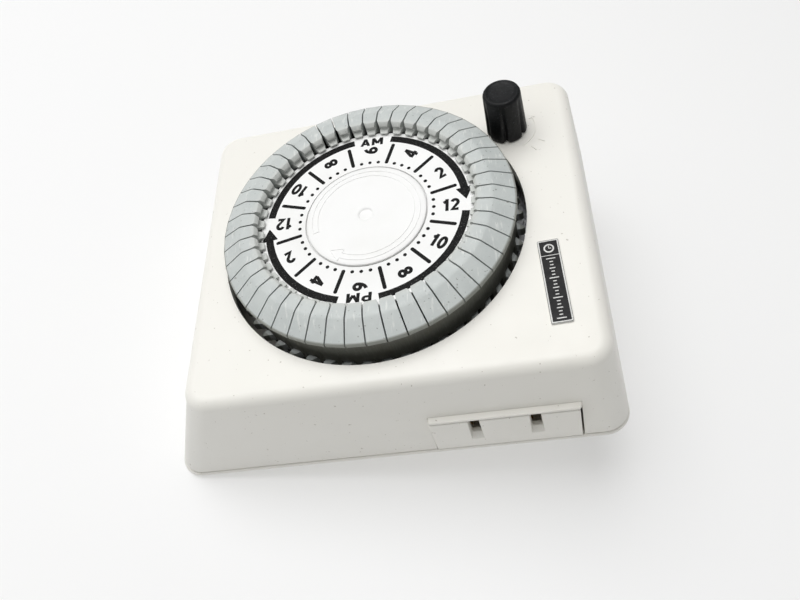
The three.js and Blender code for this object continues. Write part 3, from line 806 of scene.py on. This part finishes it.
def centre_cap():
    """The low cap in the middle of the dial, with a dimple."""
    outline = [
        (0, -0.3), (13.6, -0.3), (13.6, 0.02), (13.52, 0.14), (13.35, 0.22), (12.9, 0.26), (8, 0.28),
        (2.3, 0.3), (1.9, 0.28), (1.6, 0.16), (1.45, -0.02), (1.1, -0.12), (0, -0.15),
    ]
    cap = turned("centre_cap", [(r, DIAL_Z + rise) for r, rise in outline], 192, DIAL)
    piece(cap, "dial", DIAL_WHITE, ["dial_centre_cap"], angle=30)


def cap_arrow():
    """A raised turning arrow on the cap: two round ribs, closed at one end and with a head at the other."""
    low, top, width = DIAL_Z + 0.18, DIAL_Z + 0.37, 0.16
    inner, outer, head_inner, head_outer = 10.98, 12.28, 9.9, 13.2
    parts = [stroke("rib", arc(DIAL, r, r, -118, 196, 120), width, low, top) for r in (inner, outer)]
    parts.append(stroke("rib_end", [polar(r, math.radians(196)) for r in (10.9, 12.36)], width, low, top))
    for span in ((head_inner, inner), (outer, head_outer)):
        parts.append(stroke("barb", [polar(r, math.radians(-117.6)) for r in span], width, low, top))
    tip = polar(11.6, math.radians(-132))
    for r in (head_inner, head_outer):
        parts.append(stroke("barb_edge", [polar(r, math.radians(-117.5)), tip], 0.18, low, top))
    piece(joined("cap_turning_arrow", parts), "dial", DIAL_WHITE, edge=0.04, segments=2)


# ---------------- dial print

INK_DEPTH = 0.05
INK_LOW, INK_HIGH = DIAL_Z - INK_DEPTH / 2, DIAL_Z + INK_DEPTH / 2
GLYPH_STROKE = 0.23
GLYPHS = {
    "0": [arc((0.32, 0.5), 0.21, 0.4, 0, 360, 24)],
    "1": [[(0.36, 0), (0.36, 1)], [(0.36, 0.84), (0.12, 0.7)]],
    "2": [[*arc((0.32, 0.68), 0.21, 0.22, 165, -40), (0.14, 0.1), (0.56, 0.1)]],
    "4": [[(0.44, 0), (0.44, 1)], [(0.42, 0.95), (0.07, 0.3)], [(0, 0.27), (0.64, 0.27)]],
    "6": [arc((0.32, 0.31), 0.21, 0.21, 0, 360, 20), arc((0.56, 0.33), 0.45, 0.57, 102, 180)],
    "8": [arc((0.32, 0.29), 0.22, 0.19, 0, 360, 20), arc((0.32, 0.72), 0.19, 0.18, 0, 360, 20)],
    "A": [[(0.08, 0), (0.36, 1)], [(0.36, 1), (0.64, 0)], [(0.18, 0.28), (0.54, 0.28)]],
    "M": [
        [(0.1, 0), (0.1, 1)], [(0.78, 0), (0.78, 1)],
        [(0.12, 0.97), (0.44, 0.22)], [(0.44, 0.22), (0.76, 0.97)],
    ],
    "P": [[(0.1, 0), (0.1, 1)], [(0.1, 0.9), *arc((0.36, 0.68), 0.2, 0.22, 90, -90), (0.1, 0.46)]],
}
HOURS = ["12", "2", "4", "6", "8", "10"] * 2


def glyph_strokes(text):
    """The strokes of a line of characters, each a little taller than the last so that no two tops meet."""
    parts, start = [], 0
    for letter in text:
        paths = GLYPHS[letter]
        left = min(x for path in paths for x, y in path)
        right = max(x for path in paths for x, y in path)
        for number, path in enumerate(paths):
            moved = [(x - left + start, y) for x, y in path]
            parts.append(stroke("stroke", moved, GLYPH_STROKE, 0, 1 + 0.06 * number))
        start += right - left + GLYPH_STROKE + 0.13
    return parts


def text_mark(text, width, height, centre, degrees):
    """Printed characters, scaled to a width and a height, turned, and set on the dial."""
    made = joined("mark", glyph_strokes(text))
    xs = [v.co.x / MM for v in made.data.vertices]
    ys = [v.co.y / MM for v in made.data.vertices]
    middle = Vector(((min(xs) + max(xs)) / 2, (min(ys) + max(ys)) / 2, 0.5)) * MM
    scale = Matrix.Diagonal((width / (max(xs) - min(xs)), height / (max(ys) - min(ys)), INK_DEPTH, 1))
    spot = Matrix.Translation((centre[0] * MM, centre[1] * MM, DIAL_Z * MM))
    turn = Matrix.Rotation(math.radians(degrees), 4, "Z")
    made.data.transform(spot @ turn @ scale @ Matrix.Translation(-middle))
    return made


def hour_numbers():
    parts = []
    for number, name in enumerate(HOURS):
        angle = HOUR_MARK + HOUR_STEP * (number - 0.5)
        width = 3.7 if len(name) == 2 else 2.15
        parts.append(text_mark(name, width, 3.35, polar(19.0, math.radians(angle)), angle))
    for name, angle in (("AM", 86.8), ("PM", 266.8)):
        parts.append(text_mark(name, 5.4, 2.3, polar(21.7, math.radians(angle)), angle - 90))
    return parts


def hour_bars():
    parts = []
    for mark in range(len(HOURS)):
        angle = math.radians(HOUR_MARK + HOUR_STEP * mark)
        outline = radial_bar(DIAL, angle, 14.85, 20.9, 0.84)
        parts.append(raised("bar", rounded(outline, 0.38, 6), INK_LOW, INK_HIGH))
    return parts


def half_hour_dots():
    parts = []
    for mark in range(len(HOURS)):
        for k in (1, 2, 3):
            place = polar(15.2, math.radians(HOUR_MARK + HOUR_STEP * mark + PITCH * k))
            parts.append(rod_object("dot", *place, 0.41, INK_LOW, INK_HIGH, 20))
    return parts


def day_arcs():
    """For each half of the day, two broad arcs with AM or PM between them, and an arrow head at one end."""
    parts = []
    for half in (0, 180):
        for a0, a1 in ((8.3, 75), (97.7, 171.8)):
            path = arc(DIAL, 22.3, 22.3, a0 + half, a1 + half, 48)
            parts.append(stroke("arc", path, 1.7, INK_LOW, INK_HIGH))
        tip, base = math.radians(-0.2 + half), math.radians(8.6 + half)
        head = [polar(20.4, base), polar(24.2, base), polar(22.35, tip)]
        parts.append(raised("arrow", rounded(head, 0.1, 3), INK_LOW, INK_HIGH))
    return parts


def dial_print():
    piece(joined("dial_numbers", hour_numbers()), "dial", INK)
    piece(joined("dial_bars", hour_bars()), "dial", INK)
    piece(joined("dial_dots", half_hour_dots()), "dial", INK)
    piece(joined("dial_arcs", day_arcs()), "dial", INK)


# ---------------- trippers

NOSE_END_R = 24.3
NOSE_BLEND = 1.1
NOSE_HALF = 0.95
STEM_HALF = 1.3
STEM_R = 26.2
HEAD_OUTLINE = [
    (23.45, 31.6), (24.2, 31.42), (25.0, 31.3), (25.0, 30.5), (26.2, 30.3), (32.75, 30.3), (32.97, 30.55),
    (33.0, 31.42), (32.9, 31.6), (28.6, 33.95), (28.2, 34.1), (27.7, 34.16), (25.4, 34.2), (24.95, 34.16),
    (24.7, 33.95), (24.42, 33.5), (24.3, 33.25), (24.5, 32.75), (24.9, 32.5), (24.6, 32.2), (24.1, 32.1),
    (23.5, 31.98), (23.35, 31.8),
]
NOTCH_R, NOTCH_Z0, NOTCH_Z1 = PIVOT_R + 0.9, PIVOT_Z - 0.9, PIVOT_Z + 0.9
STEM_OUTLINE = [
    (STEM_R, LUG_Z0), (30.2, LUG_Z0), (30.2, 30.4), (STEM_R, 30.4), (STEM_R, NOTCH_Z1), (NOTCH_R, NOTCH_Z1),
    (NOTCH_R, NOTCH_Z0), (STEM_R, NOTCH_Z0),
]
LUG_PLAN = [(30, -1.4), (33.2, -1.4), (LUG_TIP_R, -0.9), (31.2, 1.4), (30, 1.4)]


def wedge(r):
    """Half the room that a tripper has between its neighbours at a radius."""
    return r * math.tan(math.radians(PITCH / 2)) - SIDE_GAP


def half_width(r):
    """Half a tripper head's width at a radius: a wedge, with a narrow nose near the dial's disc."""
    if r >= NOSE_END_R + NOSE_BLEND:
        return wedge(r)
    if r <= NOSE_END_R:
        return 0.75 + 0.2 * (r - 22.5) / 1.8
    return NOSE_HALF + (wedge(NOSE_END_R + NOSE_BLEND) - NOSE_HALF) * (r - NOSE_END_R) / NOSE_BLEND


def slab(name, outline, half):
    """A solid between two copies of an outline of (radius, z); half gives half its width at a radius."""
    count = len(outline)
    points = [(r, side * half(r), z) for side in (1, -1) for r, z in outline]
    faces = [tuple(range(count)), tuple(reversed(range(count, 2 * count)))]
    faces += [(i, (i + 1) % count, (i + 1) % count + count, i + count) for i in range(count)]
    return add_mesh(name, points, faces)


def tripper_mesh(name, degrees, lean):
    """A sloped head, a stem with a notch for the pivot wire, and a pointed lug, at an angle on the dial."""
    head = slab(name, HEAD_OUTLINE, half_width)
    stem = slab("stem", STEM_OUTLINE, lambda r: STEM_HALF)
    lug = raised("lug", LUG_PLAN, LUG_Z0, LUG_TOP)
    boolean(head, [stem, lug], "UNION")
    pivot = Matrix.Translation((PIVOT_R * MM, 0, PIVOT_Z * MM))
    tilt = pivot @ Matrix.Rotation(lean, 4, "Y") @ pivot.inverted()
    spot = Matrix.Translation((DIAL.x * MM, DIAL.y * MM, 0))
    head.data.transform(spot @ Matrix.Rotation(math.radians(degrees), 4, "Z") @ tilt)
    return head


def trippers():
    """Forty-eight separate trippers. Every second one rocks; the others stand for the joined bank."""
    for n in range(TRIPPERS):
        number = n // 2 + 1
        rocks = n % 2 == 0
        body = f"rocker_{number:02d}" if rocks else "dial"
        node = f"tripper_{number:02d}" if rocks else "tripper_bank"
        lean = math.radians(random.uniform(0.0, 0.7))
        made = tripper_mesh(f"tripper_body_{n + 1:02d}", HOUR_MARK + PITCH * n, lean)
        piece(made, body, TRIPPER, [node], edge=0.11, segments=2, angle=25)


# ---------------- knob

KNOB_LOW, KNOB_HIGH = box_mm("override_knob")
KNOB_BASE_R = (KNOB_HIGH.x - KNOB_LOW.x) / 2 - 0.02
KNOB_TOP_R = KNOB_BASE_R - 0.4
KNOB_SHOULDER = 0.75
KNOB_RIBS = 6
KNOB_PHASE = math.radians(-36)
KNOB_ANGLES = [2 * math.pi * i / 144 for i in range(144)]


def knob_radius(z, a):
    """The knob's side: a taper with notches that fade upwards, and ribs that are a little flat."""
    t = (z - KNOB_LOW.z) / (KNOB_HIGH.z - KNOB_LOW.z)
    taper = KNOB_BASE_R + (KNOB_TOP_R - KNOB_BASE_R) * t
    wave = abs(math.remainder((a - KNOB_PHASE) * KNOB_RIBS, 2 * math.pi)) / math.pi
    notch = max(0.0, 1 - wave / 0.34)
    notch = notch * notch * (3 - 2 * notch)
    fade = max(0.0, 1 - t * 0.9) ** 1.4
    flat = 0.03 * (0.5 - 0.5 * math.cos(math.pi * min(1.0, wave / 0.5))) * (1 - 0.5 * t)
    return taper - 0.95 * notch * fade - flat


def knob_loops():
    """Level outlines from the knob's foot, up its side and over its shoulder, into its ringed top."""
    low, high = KNOB_LOW.z, KNOB_HIGH.z
    start, edge = low + 0.25, high - KNOB_SHOULDER
    levels = [(low, 0.3), (low + 0.08, 0.08), (start, 0.0)]
    levels += [(start + (edge - start) * i / 12, 0.0) for i in range(1, 13)]
    loops = [[(*polar(knob_radius(z, a) - inset, a, KNOB), z) for a in KNOB_ANGLES] for z, inset in levels]
    for step in range(1, 7):
        turn, share = math.radians(13 * step), step / 6
        inset, z = KNOB_SHOULDER * (1 - math.cos(turn)), edge + KNOB_SHOULDER * math.sin(turn)
        radii = [knob_radius(edge, a) * (1 - share) + KNOB_TOP_R * share - inset for a in KNOB_ANGLES]
        loops.append([(*polar(r, a, KNOB), z) for r, a in zip(radii, KNOB_ANGLES)])
    rim = KNOB_TOP_R - KNOB_SHOULDER * (1 - math.cos(math.radians(78)))
    recess = ((rim - 0.15, 0.0), (rim - 0.28, 0.05), (rim - 0.4, 0.16), (rim - 1.2, 0.2), (0.8, 0.24))
    for r, drop in recess:
        loops.append([(*polar(r, a, KNOB), high - drop) for a in KNOB_ANGLES])
    return loops


def knob():
    """A tapered knob with six broad ribs, a rounded shoulder and a ringed top, bored for its shaft."""
    body = lofted("knob_body", knob_loops())
    bore = rod_object("bore", KNOB.x, KNOB.y, KNOB_BORE_R, KNOB_LOW.z - 1, 34, 48)
    boolean(body, [bore], "DIFFERENCE")
    piece(body, "knob", KNOB_BLACK, ["override_knob"], angle=50)


# ---------------- pieces carried over from the frame

def carry(names, material, edge=0.08, segments=2):
    """Paints the frame's own pieces, which stay as they are but for softened edges."""
    for name in names:
        node = frame["nodes"][name]
        node.data.materials.clear()
        node.data.materials.append(material)
        node.data.polygons.foreach_set("use_smooth", [True] * len(node.data.polygons))
        node.data.set_sharp_from_angle(angle=math.radians(35))
        bevel(node, edge, segments, 35)


carry(["line_blade", "neutral_blade"], BRASS, 0.22, 3)
carry(["line_outlet_contact", "neutral_outlet_contact", "motor_pinion"], BRASS)
carry(["dial_axle", "detent_spring", "motor_can", "gear_plate", "gear_axle_1", "gear_axle_2"], STEEL)
carry(["pivot_ring"], CARRIER, 0.0)
carry(["fixed_contact", "contact_arm"], COPPER)
carry(["dial_gear", "gear_1", "gear_2", "star_wheel", "switch_cam"], GEAR, 0.05)

front_housing()
rear_cover()
cover_screws()
housing_marks()
badge()
outlet()
carrier_core()
carrier_wall()
dial_disc()
centre_cap()
cap_arrow()
dial_print()
trippers()
knob()


# ---------------- floor, light and camera

FLOOR_HALF = 1500


def floor():
    """A pale floor on which the timer stands, through the case's left edge and the blades' tips.

    It glows a little, so that the timer's shadow on it stays light.
    """
    blade_low, blade_high = box_mm("neutral_blade")
    edge = Vector((CASE_BACK["x0"] + 0.4, 0, 0))
    tip = Vector((blade_high.x - 1.3, 0, blade_low.z))
    slope = math.atan2(edge.z - tip.z, tip.x - edge.x)
    along = Vector((math.cos(slope), 0, -math.sin(slope))) * FLOOR_HALF
    across = Vector((0, 1, 0)) * FLOOR_HALF
    middle = edge + Vector((0, 0, -0.05))
    corners = [middle + along * i + across * j for i, j in ((-1, -1), (1, -1), (1, 1), (-1, 1))]
    made = add_mesh("floor", corners, [(0, 1, 2, 3)])
    look = Shader("floor_card", (0.53, 0.53, 0.53), 0.75, specular=0.2)
    look.spots((0.52, 0.52, 0.525), size=300, detail=2, start=0.3, full=0.7)
    look.surface.inputs["Emission Color"].default_value = (1.0, 1.0, 0.985, 1.0)
    look.surface.inputs["Emission Strength"].default_value = 0.38
    made.data.materials.append(look.material)


def area_light(name, place, target, size, power):
    """A round light that faces a target; all in metres and watts."""
    data = bpy.data.lights.new(name, "AREA")
    data.shape = "DISK"
    data.size = size
    data.energy = power
    made = bpy.data.objects.new(name, data)
    bpy.context.scene.collection.objects.link(made)
    made.visible_camera = False
    made.location = place
    made.rotation_euler = (Vector(target) - Vector(place)).to_track_quat("-Z", "Y").to_euler()


def world():
    """A soft sky, pale at the horizon and dimmer overhead."""
    made = bpy.data.worlds.new("studio")
    made.use_nodes = True
    tree = made.node_tree
    background = tree.nodes["Background"]
    background.inputs["Color"].default_value = (0.95, 0.955, 0.96, 1)
    direction = tree.nodes.new("ShaderNodeTexCoord")
    split = tree.nodes.new("ShaderNodeSeparateXYZ")
    tree.links.new(direction.outputs["Generated"], split.inputs["Vector"])
    fade = tree.nodes.new("ShaderNodeMapRange")
    fade.inputs["From Min"].default_value = 0.1
    fade.inputs["From Max"].default_value = 0.45
    fade.inputs["To Min"].default_value = 0.62
    fade.inputs["To Max"].default_value = 0.2
    tree.links.new(split.outputs["Z"], fade.inputs["Value"])
    tree.links.new(fade.outputs["Result"], background.inputs["Strength"])
    bpy.context.scene.world = made


LENS = 35.24
CAMERA_FROM_DIAL = Vector((36.2, -110.2, 128.6))
CAMERA_BACK = Vector((0.1826, -0.549, 0.8157))
CAMERA_UP = Vector((0.134, 0.8358, 0.5326))


def camera():
    data = bpy.data.cameras.new("camera")
    data.sensor_width = 36
    data.lens = LENS
    data.clip_start = 0.01
    made = bpy.data.objects.new("camera", data)
    bpy.context.scene.collection.objects.link(made)
    right = CAMERA_UP.cross(CAMERA_BACK).normalized()
    turn = Matrix((right, CAMERA_BACK.cross(right), CAMERA_BACK)).transposed().to_4x4()
    made.matrix_world = Matrix.Translation((DIAL + CAMERA_FROM_DIAL) * MM) @ turn
    bpy.context.scene.camera = made


floor()
area_light("panel", place=(-0.2, 0.9, 3.2), target=(0, 0.1, 0), size=3.0, power=58)
area_light("key", place=(-0.10, 0.05, 0.46), target=(-0.03, -0.02, 0.02), size=0.7, power=1.45)
world()
camera()
bpy.context.scene.view_settings.view_transform = "Standard"
